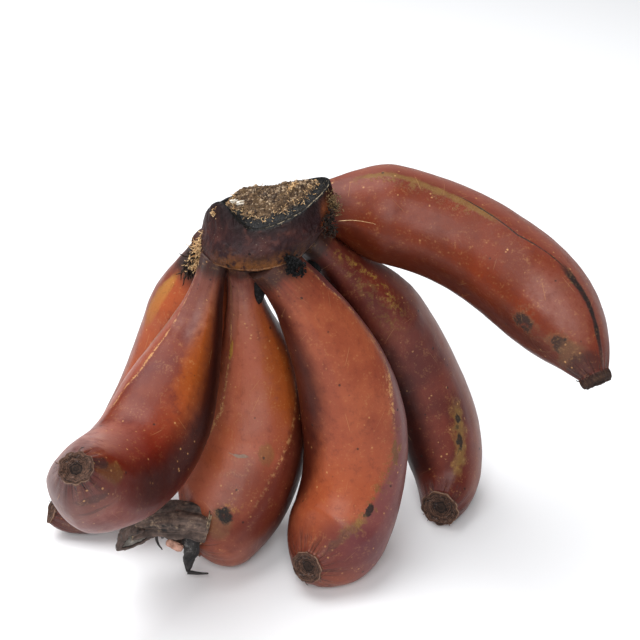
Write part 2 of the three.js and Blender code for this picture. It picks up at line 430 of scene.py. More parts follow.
def buildFinger(name, size, seed):
    shares = np.linspace(0, 1, detail["stations"])
    turns = np.arange(detail["sides"]) * 360 / detail["sides"]
    centre, along, out, side, length = fingerFrame(size, shares)
    base = fingerRadius(size, shares)[:, None]
    lift = ridgeLift(size, shares, turns, ripple["ridgeWidth"])
    reach = base * (1 + lift) - detail["inset"]
    rough = ringsOf(centre, out, side, reach, turns)
    reach += detail["lump"] * grain(rough, detail["lumpScale"], seed) * smooth(shares, 0, 0.2)[:, None]
    reach += detail["small"] * grain(rough, detail["smallScale"], seed + 7)
    away = ridgeAway(size, shares, turns)
    keen = smooth(shares, 0.05, 0.2)[:, None] * smooth(shares, 0.98, 0.85)[:, None]
    reach += detail["crest"] * np.exp(-(away / detail["crestWidth"]) ** 2) * keen
    # lengthwise creases in the neck and folds into the blossom end
    angle = np.radians(turns)
    ringPlace = np.stack(np.broadcast_arrays(np.cos(angle)[None] * 2.2, np.sin(angle)[None] * 2.2,
                                             shares[:, None] * 3), -1)
    crease = grain(ringPlace, 1.0, seed + 3)
    reach += detail["crease"] * crease * smooth(shares, 0.30, 0.05)[:, None]
    fold = np.cos(angle * detail["folds"] + seed)[None] * 0.5 + grain(ringPlace * [2, 2, 1], 1.0, seed + 5)
    reach += detail["pucker"] * fold * smooth(shares, 0.90, 1.0)[:, None]
    for share, turn, far, wide, rise in size.get("fuller", []):
        over = (turns - turn + 180) % 360 - 180
        reach += rise * np.exp(-((shares - share) / far)[:, None] ** 2 - (over / wide)[None] ** 2)
    rows = ringsOf(centre, out, side, reach, turns)
    # the blossom end
    end, tipCentre = along[-1], centre[-1]
    steps = np.linspace(0, len(discProfile) - 1, detail["discRings"])[1:]
    spread = np.interp(steps, range(len(discProfile)), [p[0] for p in discProfile])
    height = np.interp(steps, range(len(discProfile)), [p[1] for p in discProfile])
    height = height * size.get("stub", 1)
    discCentre = tipCentre + end * height[:, None]
    discOut = np.repeat(out[-1:], len(steps), 0)
    discSide = np.repeat(side[-1:], len(steps), 0)
    discReach = reach[-1][None] * spread[:, None]
    flat = ringsOf(np.repeat(tipCentre[None], len(steps), 0), discOut, discSide, discReach, turns)
    torn = detail["torn"] * grain(flat, detail["tornScale"], seed + 11)
    torn += detail["tornFine"] * grain(flat, detail["tornFineScale"], seed + 13)
    disc = ringsOf(discCentre, discOut, discSide, discReach, turns)
    disc += end * (torn * smooth(spread, 1.0, 0.8)[:, None])[:, :, None]
    rows = placed(np.concatenate([rows, disc]))
    place = np.concatenate([shares, 1 + steps / (len(discProfile) - 1)])
    draw = random.Random(int(seed * 10) + 3)
    for _ in range(size["bristles"]):
        away = math.radians(draw.uniform(0, 360))
        spoke = out[-1] * math.cos(away) + side[-1] * math.sin(away)
        start = tipCentre + spoke * float(reach[-1].mean()) * draw.uniform(*bristle["from"])
        start = start + end * bristle["up"]
        heading = spoke * 0.8 + end * draw.uniform(0.2, 0.9) + np.array([0, 0, -0.5])
        bristles.append(wander(draw, start, heading, draw.uniform(*bristle["length"]), bristle["curl"],
                               bristle["points"], draw.uniform(*bristle["thick"]), bristle["fine"]))
    readings = {
        "along": evenRound(place, len(turns)),
        "section": np.stack(np.broadcast_arrays(np.cos(angle)[None], np.sin(angle)[None],
                                                np.zeros((len(place), 1))), -1)}
    return skinOver(name + "_skin", rows, readings, size.get("material"), name), length


tones = {
    "brick": paint(134, 62, 40), "orange": paint(158, 76, 42), "clay": paint(150, 76, 48),
    "russet": paint(98, 35, 10), "rust": paint(110, 39, 9), "wine": paint(90, 23, 11),
    "dusk": paint(108, 44, 30), "amber": paint(142, 66, 14), "mauve": paint(112, 66, 60),
    # haze: a pale pinkish grey, mostly a painted sheen on sides that catch reflected light, and on the far
    # right finger's tip side a pale scurfy patch
    "haze": paint(150, 108, 98), "maroon": paint(84, 28, 20), "plum": paint(64, 32, 29),
    "olive": paint(112, 80, 36), "tan": paint(200, 150, 96), "yellow": paint(176, 132, 52),
    "black": paint(24, 20, 19), "grey": paint(140, 126, 112), "rim": paint(104, 70, 46),
    "pit": paint(38, 25, 20), "tip": paint(82, 36, 32), "glint": paint(128, 130, 134),
    "khaki": paint(124, 94, 50), "cherry": paint(98, 20, 9), "violet": paint(108, 60, 62),
    "purple": paint(84, 36, 42), "fibre": paint(104, 75, 61), "ringPale": paint(166, 136, 116),
    # pink and blush are skin tones, and some marks below also use them as a painted sheen
    "pink": paint(160, 86, 64), "blush": paint(170, 110, 96),
}


class Skin(Finish):  # a finish that knows where along and round a finger it is
    def __init__(self, name, length, radius):
        super().__init__(name)
        self.along = self.reading("along")
        section = self.reading("section", "Vector")
        x, y = section.part("X"), section.part("Y")
        self.turn = self.node("ShaderNodeMath", {"operation": "ARCTAN2"}, {0: y, 1: x}) * (180 / math.pi)
        self.grainwise = self.joined(x * radius, y * radius, self.along * (length * 0.12))
        self.broad = self.noise(70, 3) - 0.5
        self.middling = self.noise(260, 4, 0.6) - 0.5
        self.fine = self.noise(1100, 4, 0.6) - 0.5
        self.streak = self.noise(0.30, 5, 0.65, self.grainwise) - 0.5

    def around(self, away):
        return (away + 180) % 360 - 180

    def patch(self, share, turn, length, width, soft=0.6, rag=1.2):  # an uneven spot
        down = (self.along + self.broad * 0.06 - share) / length
        over = self.around(self.turn + self.middling * 14 - turn) / width
        ragged = (self.middling + self.fine * 0.6) * rag
        return (down * down + over * over + ragged).step(1 + soft, 1 - soft)

    def fromLine(self, points):  # degrees from a line of (share, turn) points
        centre = points[0][1]
        for (share, turn), (nextShare, nextTurn) in zip(points, points[1:]):
            slope = (nextTurn - turn) / (nextShare - share)
            if abs(slope) > 0.01:
                centre = centre + (self.along.most(share).least(nextShare) - share) * slope
        return self.around(self.turn - centre)

    def span(self, points, fade):
        first, last = points[0][0], points[-1][0]
        return self.along.step(first - fade, first + fade) * self.along.step(last + fade, last - fade)

    def band(self, points, width, soft=0.5, rag=8, fade=0.03):
        away = abs(self.fromLine(points)) + self.middling * rag
        return away.step(width * (1 + soft), width * (1 - soft)) * self.span(points, fade)

    def dashes(self, points, width, share=0.5):  # a thin broken line
        gaps = self.noise(700, 3, 0.7).step(0.62 - share * 0.3, 0.72 - share * 0.3)
        dots = self.specks(560, 0.16, self.fine * 0.1, 0.5) * self.band(points, width * 5, 0.9, 12)
        return (self.band(points, width, 0.6, 7) * gaps).most(dots)

    def crust(self, points, width):  # a broken, grainy scab along a line
        broken = (self.noise(420, 5, 0.75, self.moved(0.3)) - 0.5).step(-0.02, 0.10)
        return self.band(points, width, 0.9, 30, 0.05) * broken

    def facet(self, points, width, soft=6, fade=0.06):
        # one side of a line, the one where turn grows if width is positive
        away = self.fromLine(points) * (1 if width > 0 else -1) + self.middling * 10
        return away.step(-soft, soft) * away.step(abs(width) + 25, abs(width) - 15) * self.span(points, fade)


def skinFinish(name, look, length, radius):
    f = Skin(name + "_skin", length, radius)
    colour = f.blend((f.broad * 2.2 + f.streak * 0.6 + 0.5).step(0.1, 0.9), tones[look["base"][0]],
                     tones[look["base"][1]])
    colour = f.blend((f.streak * 1.6 + f.middling * 1.0).step(0.05, 0.7) * 0.25, colour, tones["maroon"])
    rough = 0.40 + f.middling * 0.14 + f.fine * 0.08
    scar = f.middling * 0
    for kind, tone, strength, *where in look["marks"]:
        mask = getattr(f, kind)(*where) * strength
        colour = f.blend(mask, colour, tones[tone])
        if tone in ("olive", "black", "tan", "yellow", "grey", "rim"):
            scar = scar.most(mask)
    # neck and blossom end
    neck = f.along.step(0.18, 0.02)
    colour = f.blend(neck * (f.streak * 2 + 0.4).least(0.7).most(0.1), colour, tones["plum"])
    ending = (f.along + f.broad * 0.08 + f.middling * 0.05).step(0.90, 1.01)
    colour = f.blend(ending * 0.55, colour, tones["tip"])
    # painted shadow: the top of each neck, under the crown, is darkened almost to black
    colour = f.blend((f.along + f.middling * 0.03).step(0.07, 0.03) * 0.8, colour, tones["pit"])
    gathers = f.noise(0.55, 4, 0.6, f.grainwise).step(0.5, 0.62)
    pucker = (f.along + f.middling * 0.05).step(0.93, 1.02) * gathers
    colour = f.blend(pucker * 0.7, colour, tones["pit"])
    mottle = (f.middling * 1.2 + f.fine * 0.9 + f.streak * 0.5).step(0.0, 0.35)
    colour = f.blend(mottle * 0.30, colour, tones["maroon"])
    colour = f.blend((f.fine * 1.1 - f.middling * 0.9).step(0.05, 0.4) * 0.22, colour, tones["tan"])
    # painted shade: the sides turned to the other fingers and the ground are multiplied much darker
    for strength, points, width in look["shade"]:
        colour = f.blend(f.facet(points, width, 18, 0.1) * strength, colour, (0.16, 0.08, 0.08), "MULTIPLY")
    # fine pale dust, freckles, scratches
    worn = (f.noise(60, 3, 0.6) - 0.5).step(-0.05, 0.16)
    dust = f.specks(900, 0.13, f.fine * 0.1) * worn
    chips = f.specks(300, 0.16, f.fine * 0.2, 0.31) * worn
    freckles = f.specks(130, 0.095, f.fine * 0.1, 0.77).most(f.specks(260, 0.15, f.fine * 0.1, 0.2) * neck)
    lines = f.scratches(110, 0.0045, 0.00005, 0.22, 0.13).most(f.scratches(70, 0.008, 0.00005, 0.14, 0.57))
    colour = f.blend(dust * 0.30, colour, tones["tan"])
    colour = f.blend(chips * 0.7, colour, tones["tan"])
    colour = f.blend(freckles * 0.75, colour, tones["black"])
    colour = f.blend(lines * 0.28, colour, tones["tan"])
    # the blossom end's disc
    disc = (f.along + f.fine * 0.02 + f.middling * 0.04).step(1.02, 1.09)
    hollow = (f.along + f.middling * 0.16).step(1.18, 1.34)
    rings = f.noise(1.0, 3, 0.6, f.joined(f.along * 16, f.middling * 2.5, f.fine * 2)) - 0.5
    inner = f.blend((rings * 1.6 + f.fine * 0.8).step(-0.16, 0.14), tones["pit"], tones["fibre"])
    inner = f.blend((f.fine * 1.2 + f.middling * 0.7).step(0.16, 0.34) * 0.8, inner, tones["rim"])
    # painted glints: grey-blue specks of reflected light in the disc
    inner = f.blend((f.fine * 1.2 - f.middling).step(0.14, 0.34) * 0.45, inner, tones["glint"])
    inner = f.blend((f.along + f.middling * 0.2).step(1.70, 1.92) * 0.7, inner, tones["black"])
    ring = f.blend((f.fine + f.middling).step(-0.15, 0.2), tones["plum"], tones["rim"])
    colour = f.blend(disc, colour, f.blend(hollow, ring, inner))
    lip = abs(f.along + f.middling * 0.06 - 1.17).step(0.06, 0.02) * (f.middling + 0.5).step(0.35, 0.5)
    colour = f.blend(lip * look.get("lip", 0.6), colour, tones["ringPale"])
    if "lip" in look:
        colour = f.blend((f.along + f.middling * 0.06).step(1.0, 1.04) * 0.7, colour, tones["pit"])
    rough = rough + scar * 0.22 + disc * 0.35 + neck * 0.12
    height = f.streak * 0.10 + f.fine * 0.04 + f.middling * 0.10 + scar * (0.10 + f.fine * 0.35)
    height = height + lines * 0.03 - freckles * 0.05 - pucker * 0.35
    height = height + disc * (f.fine * 0.9 + f.middling * 0.3)
    return f.close({"Base Color": colour, "Roughness": rough.least(0.95).most(0.22),
                    "Normal": f.bump(height, mm, 0.8), "IOR": 1.45, "Specular IOR Level": 0.34})


# Ridges that several marks follow, as (share, turn).
middleRidge = [(0.3, 205), (0.4, 218), (0.525, 240), (0.63, 256), (0.74, 272), (0.84, 280)]
rightRidge = [(0.15, 256), (0.21, 246), (0.32, 250), (0.38, 257), (0.45, 274)]
rightRidgeEnd = [(0.60, 282), (0.65, 291), (0.73, 301), (0.81, 307)]
# Painted shade: strength, line and width of the sides turned to a neighbour or the ground.
# Marks: a method of Skin, a tone, a strength and what the method takes.
looks = {
    "finger_rear_left": {"base": ("brick", "orange"), "shade": [
        (0.6, [(0.03, 350), (0.95, 350)], 100)], "marks": [
        ("patch", "plum", 0.9, 0.95, 275, 0.11, 100, 0.9, 1.0),
        ("patch", "yellow", 0.75, 0.23, 344, 0.09, 12),
        ("patch", "black", 0.95, 0.05, 334, 0.09, 60),
        ("patch", "orange", 0.6, 0.35, 330, 0.2, 30, 1.0)]},
    "finger_front_left": {"base": ("wine", "rust"), "shade": [
        (0.88, [(0.03, 310), (0.3, 308), (0.6, 314), (0.85, 312)], -45),
        (0.75, [(0.03, 290), (0.3, 288), (0.48, 286)], -110)], "marks": [
        ("patch", "amber", 0.9, 0.28, 318, 0.20, 26, 0.9),
        ("patch", "orange", 0.5, 0.55, 320, 0.16, 30, 0.9),
        # painted sheen: the side past the left ridge is lightened pink
        ("facet", "pink", 0.55, [(0.02, 56), (0.21, 38), (0.37, 34), (0.52, 46), (0.66, 50)], 55),
        ("band", "olive", 0.55, [(0.12, 66), (0.34, 70)], 9),
        ("dashes", "tan", 0.65, [(0.04, 56), (0.21, 36), (0.37, 34), (0.54, 46)], 1.5, 0.6),
        # painted sheen: the next three pale patches lighten the left side and the lower front
        ("patch", "blush", 0.6, 0.76, 8, 0.13, 36, 0.9, 1.6),
        ("patch", "haze", 0.4, 0.80, 345, 0.10, 30, 0.9, 1.6),
        ("patch", "haze", 0.35, 0.10, 20, 0.12, 60, 0.9, 2.2),
        ("patch", "cherry", 0.8, 0.76, 290, 0.20, 60, 0.9, 0.8),
        ("patch", "cherry", 0.5, 0.64, 338, 0.20, 36, 0.9, 0.8),
        ("patch", "blush", 0.4, 0.93, 222, 0.06, 36, 0.9, 1.6),
        ("patch", "pit", 0.7, 0.945, 232, 0.008, 36, 0.7, 0.7),
        ("patch", "pit", 0.5, 0.915, 226, 0.006, 28, 0.7, 0.7),
        ("patch", "olive", 0.5, 0.95, 300, 0.05, 20, 0.5, 2.0),
        ("patch", "black", 0.8, 0.985, 318, 0.03, 14, 0.5, 1.6),
        ("patch", "plum", 0.6, 0.95, 180, 0.07, 90, 0.8)]},
    "finger_front_middle": {"base": ("clay", "pink"), "shade": [
        (0.9, [(0.05, 370), (0.35, 364), (0.5, 354), (0.7, 368), (0.9, 400)], 110),
        (0.8, [(0.05, 232), (0.4, 226), (0.6, 246), (0.85, 240)], -100)], "marks": [
        ("patch", "amber", 0.85, 0.42, 248, 0.20, 26, 0.9),
        ("patch", "brick", 0.6, 0.66, 285, 0.14, 30, 0.9),
        ("patch", "orange", 0.5, 0.74, 318, 0.14, 40, 0.9),
        ("patch", "mauve", 0.6, 0.08, 300, 0.07, 70, 0.9),
        # painted sheen: this pale patch and the pink patch at 0.87 lighten the neck and the lower front
        ("patch", "haze", 0.45, 0.16, 325, 0.12, 40, 0.9, 2.2),
        ("patch", "pink", 0.7, 0.30, 305, 0.12, 26, 0.9),
        ("patch", "pink", 0.7, 0.87, 345, 0.08, 30, 0.9),
        ("facet", "maroon", 0.75, middleRidge + [(0.93, 284)], -90),
        ("dashes", "tan", 0.8, [(0.03, 340), (0.16, 352), (0.32, 334), (0.53, 332), (0.65, 346),
                                (0.77, 372)], 2.2),
        ("patch", "yellow", 0.8, 0.32, 333, 0.035, 5, 0.4),
        ("dashes", "tan", 0.5, middleRidge, 1.8),
        ("patch", "grey", 0.8, 0.709, 308, 0.008, 9, 0.4, 0.5),
        ("patch", "olive", 0.5, 0.68, 280, 0.04, 8, 0.5, 2.5),
        ("patch", "maroon", 0.6, 0.84, 288, 0.13, 30, 0.9, 0.8),
        ("patch", "rim", 0.7, 0.93, 298, 0.04, 16, 0.5, 2.0),
        ("crust", "yellow", 0.6, [(0.87, 296), (0.91, 303)], 7),
        ("patch", "black", 0.98, 0.903, 300, 0.017, 9, 0.4, 1.8)]},
    "finger_front_right": {"base": ("brick", "clay"), "shade": [
        (0.92, [(0.03, 352), (0.4, 361), (0.7, 380), (0.95, 402)], 110)], "marks": [
        ("patch", "orange", 0.7, 0.75, 340, 0.22, 45, 0.9),
        # the side past the right ridge is painted greyed violet: partly the skin's own tone and partly a
        # painted grazing reflection
        ("facet", "violet", 0.85, [(0.05, 252)] + rightRidge + [(0.53, 281)] + rightRidgeEnd
         + [(0.93, 309)], -90),
        ("crust", "tan", 0.45, [(0.30, 252), (0.38, 259), (0.45, 276), (0.50, 282)], 5),
        ("dashes", "tan", 0.75, [(0.08, 254)] + rightRidge + [(0.53, 281)], 2.2),
        ("crust", "olive", 0.9, [(0.52, 281)] + rightRidgeEnd + [(0.97, 309)], 6),
        ("patch", "rim", 0.8, 0.60, 282, 0.03, 4, 0.5, 1.6),
        ("patch", "black", 0.95, 0.762, 303, 0.026, 3.5, 0.4, 0.8),
        ("patch", "black", 0.95, 0.955, 307, 0.028, 6, 0.4, 0.8),
        ("band", "khaki", 0.7, [(0.80, 307), (0.90, 309), (0.97, 308)], 6, 0.6, 20),
        ("crust", "yellow", 0.8, [(0.84, 308), (0.90, 310), (0.96, 308)], 8),
        ("crust", "black", 0.8, [(0.88, 309), (0.96, 308)], 5),
        ("patch", "purple", 0.7, 0.93, 290, 0.10, 44, 0.9, 0.8),
        ("patch", "black", 0.9, 0.03, 272, 0.04, 24, 0.5, 1.5)]},
    "finger_rear_right": {"base": ("maroon", "dusk"), "shade": [
        (0.95, [(0.03, 345), (0.5, 343), (0.95, 356)], 120)], "marks": [
        # painted sheen: a pale rim along the side past the line at turn 266 to 278
        ("facet", "haze", 0.75, [(0.3, 266), (0.6, 272), (0.95, 278)], -60, 14, 0.1),
        ("crust", "yellow", 0.75, [(0.06, 296), (0.12, 286), (0.2, 284), (0.30, 296)], 9),
        ("crust", "olive", 0.6, [(0.10, 300), (0.2, 304), (0.36, 312)], 22),
        ("band", "khaki", 0.75, [(0.68, 300), (0.80, 308), (0.92, 315)], 8, 0.7, 22),
        ("crust", "yellow", 0.28, [(0.66, 299), (0.80, 309), (0.93, 316)], 9),
        ("crust", "black", 0.8, [(0.70, 304), (0.80, 310), (0.88, 312)], 4),
        ("patch", "black", 0.9, 0.71, 303, 0.016, 4, 0.5, 2.0),
        ("patch", "black", 0.9, 0.79, 309, 0.03, 4, 0.5, 2.0)]},
    "finger_far_right": {"base": ("russet", "rust"), "lip": 0.08, "shade": [
        (0.55, [(0.03, 318), (0.5, 326), (0.95, 330)], 120)], "marks": [
        ("facet", "maroon", 0.4, [(0.02, 240), (0.2, 238), (0.365, 248), (0.6, 250), (0.95, 246)], -70),
        # painted sheen: a pale pink strip along the top edge
        ("facet", "blush", 0.35, [(0.1, 226), (0.365, 234), (0.6, 238), (0.95, 240)], -70, 16, 0.1),
        ("patch", "haze", 0.22, 0.84, 270, 0.11, 24, 0.9, 2.4),
        ("crust", "rim", 0.7, [(0.74, 322), (0.80, 322), (0.86, 322)], 14),
        ("crust", "olive", 0.7, [(0.16, 240), (0.365, 250), (0.5, 250)], 8),
        ("band", "olive", 0.8, [(0.16, 236), (0.365, 246), (0.49, 248), (0.55, 249)], 4, 0.5, 8),
        ("band", "black", 0.9, [(0.44, 242), (0.625, 250), (0.76, 240)], 0.8, 0.5, 2),
        ("band", "black", 0.95, [(0.76, 240), (0.87, 238), (0.98, 246)], 5, 0.4, 7),
        ("patch", "rim", 0.4, 0.803, 322, 0.038, 11, 0.4, 3.0),
        ("patch", "pit", 0.9, 0.803, 322, 0.032, 9, 0.4, 3.2),
        ("patch", "rim", 0.6, 0.93, 312, 0.06, 20, 0.5, 3.2),
        ("patch", "pit", 0.85, 0.935, 312, 0.045, 15, 0.5, 3.6),
        ("patch", "rim", 0.9, 0.955, 316, 0.035, 40),
        ("patch", "pit", 0.8, 0.985, 310, 0.03, 60, 0.6, 1.4)]},
}
for seed, (name, size) in enumerate(fingers.items()):
    length = fingerAxis(size, np.array([0.0]))[2]
    size["material"] = skinFinish(name, looks[name], length, size["radius"])
    buildFinger(name, size, seed * 17.3)
stiff = Finish("bristle")
stiffTone = stiff.blend(stiff.noise(900, 3).step(0.4, 0.6), tones["black"], tones["fibre"])
tubes("blossom_bristles", bristles, stiff.close({"Base Color": stiffTone, "Roughness": 0.7}), None, 5)
print("fingers", len(fingers))


# The crown's rings, from under the lip over the rim to the cut flesh; eight points go round each.
crown = {
    "under": [(-42, -56, 130), (-37, -63, 130), (-26, -68, 130), (-13, -65, 131),
              (-5, -54, 133), (0, -42, 138), (-15, -40, 136), (-34, -46, 135)],
    "lip": [(-46, -57, 134), (-40, -68, 134), (-26, -75, 135), (-11, -70, 136),
            (-1, -56, 139), (5, -40, 145), (-16, -36, 141), (-38, -43, 141)],
    "bulge": [(-46, -57, 137), (-40, -69, 139), (-26, -76, 140), (-10, -71, 141),
              (2, -56, 147), (5.5, -39, 147), (-16, -34, 145), (-39, -41, 145)],
    "face": [(-44.8, -56.5, 145), (-38, -67, 145), (-25, -72, 144), (-8, -69, 147),
             (4, -54, 152), (4, -40, 151), (-16, -34, 149), (-38, -41, 148)],
    "rim": [(-43, -54, 150), (-37.5, -60, 156), (-26, -67, 148), (-9, -66, 153),
            (3, -52, 159), (2, -44, 159), (-14, -35, 152), (-35, -41, 149)],
    "wall": [(-39, -52, 147), (-34, -58, 150), (-26, -64, 147), (-11, -62, 151),
             (0, -51, 156), (0, -44, 157), (-14, -38, 151), (-34, -43, 148)],
    "fleshEdge": [(-34, -49.5, 151), (-30, -54.5, 151), (-24, -57.5, 150.5), (-13, -56.5, 153),
                  (-5, -48.5, 156.5), (-3, -44.5, 157.5), (-14, -39, 154), (-32, -44, 153)],
    "fleshTop": [(-30, -49, 153), (-27, -52.5, 153), (-23, -55, 152.5), (-14, -54, 155),
                 (-7.5, -48, 157), (-6.5, -45, 157.8), (-15, -42, 155), (-28, -46, 154)],
}


def throughPoints(points, steps, loop):
    # a centripetal curve through columns of points, at even steps of its parameter
    points = np.array(points, float)
    count = len(points)
    if loop:
        ringed = np.concatenate([points[-1:], points, points[:2]])
        spans = count
    else:
        ringed = np.concatenate([2 * points[:1] - points[1:2], points, 2 * points[-1:] - points[-2:-1]])
        spans = count - 1
    place = np.asarray(steps) * spans
    at = np.minimum(place.astype(int), spans - 1)
    t = (place - at).reshape(-1, *[1] * (points.ndim - 1))
    p0, p1, p2, p3 = [ringed[at + k] for k in range(4)]
    gaps = [np.maximum(np.sqrt(np.linalg.norm(b - a, axis=-1, keepdims=True)), 1e-4)
            for a, b in ((p0, p1), (p1, p2), (p2, p3))]
    m1 = ((p1 - p0) / gaps[0] - (p2 - p0) / (gaps[0] + gaps[1]) + (p2 - p1) / gaps[1]) * gaps[1]
    m2 = ((p2 - p1) / gaps[1] - (p3 - p1) / (gaps[1] + gaps[2]) + (p3 - p2) / gaps[2]) * gaps[1]
    return p1 + m1 * t + (-3 * p1 + 3 * p2 - 2 * m1 - m2) * t ** 2 + (2 * p1 - 2 * p2 + m1 + m2) * t ** 3


def lumps(name, places, material):
    # small rough crumbs in one mesh; places are (point, size, seed)
    base = bpy.data.meshes.new("crumb")
    shape = bmesh.new()
    bmesh.ops.create_icosphere(shape, subdivisions=2, radius=1)
    shape.to_mesh(base)
    shape.free()
    ball = np.array([v.co for v in base.vertices])
    faces = np.array([p.vertices[:] for p in base.polygons])
    points, quads, tint = [], [], []
    for place, size, seed in places:
        rough = 1 + 0.35 * grain(ball, 0.8, seed)
        made = np.array(place) + ball * rough[:, None] * np.array(size)
        quads.extend((faces + len(points)).tolist())
        points.extend(placed(made))
        tint.extend([(seed * 7.13) % 1] * len(ball))
    bpy.data.meshes.remove(base)
    mesh = bpy.data.meshes.new(name)
    mesh.from_pydata((np.array(points) * mm).tolist(), [], quads)
    mesh.attributes.new("tint", "FLOAT", "POINT").data.foreach_set("value", np.array(tint, np.float32))
    return piece(name, mesh, material, None)


crownLook = {"rows": 150, "sides": 300, "innerRows": 34, "inner": 0.96, "seed": 11,
             "flesh": 0.9, "fleshScale": 3.4, "fleshFine": 0.4, "fineScale": 1.3,
             "fleshDust": 0.4, "dustScale": 0.6, "skin": 0.35, "cut": (5.3, 6.0),
             "crumbs": 420, "crumbSize": (0.15, 0.45), "crumbsFrom": 5.5,
             "slit": ((-27, -75, 142.4), (-23.2, -75, 138.2)),
             "notch": ((-34.6, -73, 135.5), (-34.2, -74, 133)),
             "warm": ((1.5, -56, 152), (1, -55, 148))}
crownTones = {"worn": paint(104, 62, 54), "skin": paint(64, 35, 32), "deep": paint(42, 24, 26),
              "olive": paint(128, 80, 36), "ember": paint(136, 74, 40), "pale": paint(170, 130, 96),
              "black": paint(14, 14, 15), "flesh": paint(134, 108, 82), "fleshDark": paint(62, 47, 37),
              "dust": paint(200, 180, 150)}


def crownFinish():
    f = Finish("crown_skin")
    layer = f.reading("layer")
    round_ = f.reading("round")
    wide, mid, fine = f.noise(90, 3) - 0.5, f.noise(420, 4, 0.6) - 0.5, f.noise(1500, 4, 0.7) - 0.5
    skin = f.blend((wide + mid * 0.7).step(-0.15, 0.25), crownTones["deep"], crownTones["skin"])
    low = (layer + mid * 0.8 + wide * 2.0).step(2.6, 1.2) * abs(round_ - 0.27).step(0.20, 0.06)
    low = low * (wide + mid * 1.2 + fine * 0.6).step(-0.25, 0.12)
    skin = f.blend(low * 0.7, skin, crownTones["olive"])
    edge = abs(layer + mid * 0.12 - 0.97).step(0.10, 0.02) * (mid + 0.5).step(0.35, 0.6)
    skin = f.blend(edge * 0.7, skin, crownTones["pale"])
    specks = f.specks(700, 0.12, fine * 0.1) * (wide + 0.5).step(0.45, 0.7)
    skin = f.blend(specks * 0.6, skin, crownTones["dust"])
    slit, notch = [f.awayFrom(*[np.array(p) + shift for p in crownLook[key]]) + mid * 0.0006
                   for key in ("slit", "notch")]
    cracks = slit.step(0.0005, 0.0002).most(notch.step(0.0010, 0.0006))
    skin = f.blend(cracks * 0.9, skin, crownTones["black"])
    warm = f.awayFrom(*[np.array(p) + shift for p in crownLook["warm"]]) + mid * 0.004 + fine * 0.001
    skin = f.blend(warm.step(0.0065, 0.0020) * 0.75, skin, crownTones["ember"])
    near = (layer + mid * 0.9 + wide * 0.6).step(2.9, 3.9)
    skin = f.blend(near * 0.65, skin, crownTones["black"])
    # painted shadow: the underside below the lip is darkened to black where the crown overhangs the necks
    skin = f.blend((layer + mid * 0.4).step(0.9, 0.6), skin, crownTones["black"])
    inside = (layer + mid * 0.35).step(3.75, 4.0)
    colour = f.blend(inside, skin, crownTones["black"])
    line = abs(layer + mid * 0.1 - 4.1).step(0.09, 0.03) * (mid + fine + 0.5).step(0.45, 0.6)
    colour = f.blend(line * abs(round_ - 0.42).step(0.16, 0.06) * 0.6, colour, crownTones["dust"])
    flecks = f.specks(1200, 0.2, fine * 0.3, 0.4) * inside * (mid + 0.5).step(0.4, 0.6)
    colour = f.blend(flecks * 0.55, colour, crownTones["dust"])
    cut = (layer + mid * 0.7 + fine * 0.5).step(5.5, 5.9)
    crumb = f.blend((mid * 1.4 + fine).step(-0.25, 0.35), crownTones["fleshDark"], crownTones["flesh"])
    crumb = f.blend((fine + wide * 0.5).step(0.12, 0.32), crumb, crownTones["dust"])
    crumb = f.blend(f.cells(900).step(0.25, 0.05) * 0.8, crumb, crownTones["deep"])
    colour = f.blend(cut, colour, crumb)
    rough = 0.50 + mid * 0.25 + cut * 0.45 - inside * 0.14
    fold = f.noise(1.0, 4, 0.6, f.joined(round_ * 34, layer * 0.8, 0.0)) - 0.5
    # along the wrinkles the hollows are darkened towards black as painted shade, and the raised folds
    # lightened with the worn tone, partly rubbed skin and partly a painted sheen
    colour = f.blend((fold * 1.5 + mid).step(0.02, 0.35) * (1 - cut) * 0.5, colour, crownTones["black"])
    colour = f.blend((fold - mid * 0.8).step(-0.05, -0.35) * (1 - inside) * 0.35, colour, crownTones["worn"])
    height = mid * 0.6 + f.noise(160, 5, 0.6, None, 0.6) * 1.2 - fold * 0.9 * (1 - cut) + fine * 0.12
    height = height + cut * (fine * 1.2 + mid * 0.6) + f.noise(2600, 2) * 0.05 - cracks * 0.5
    return f.close({"Base Color": colour, "Roughness": rough.least(0.95).most(0.2),
                    "Normal": f.bump(height, mm, 0.9), "Specular IOR Level": 0.12})


def fibreFinish(name, pale, dark):
    f = Finish(name)
    colour = f.blend((f.noise(700, 3) - 0.5).step(-0.2, 0.2), dark, pale)
    return f.close({"Base Color": colour, "Roughness": 0.8, "Specular IOR Level": 0.2,
                    "Normal": f.bump(f.noise(4000, 2), mm * 0.2, 0.6)})


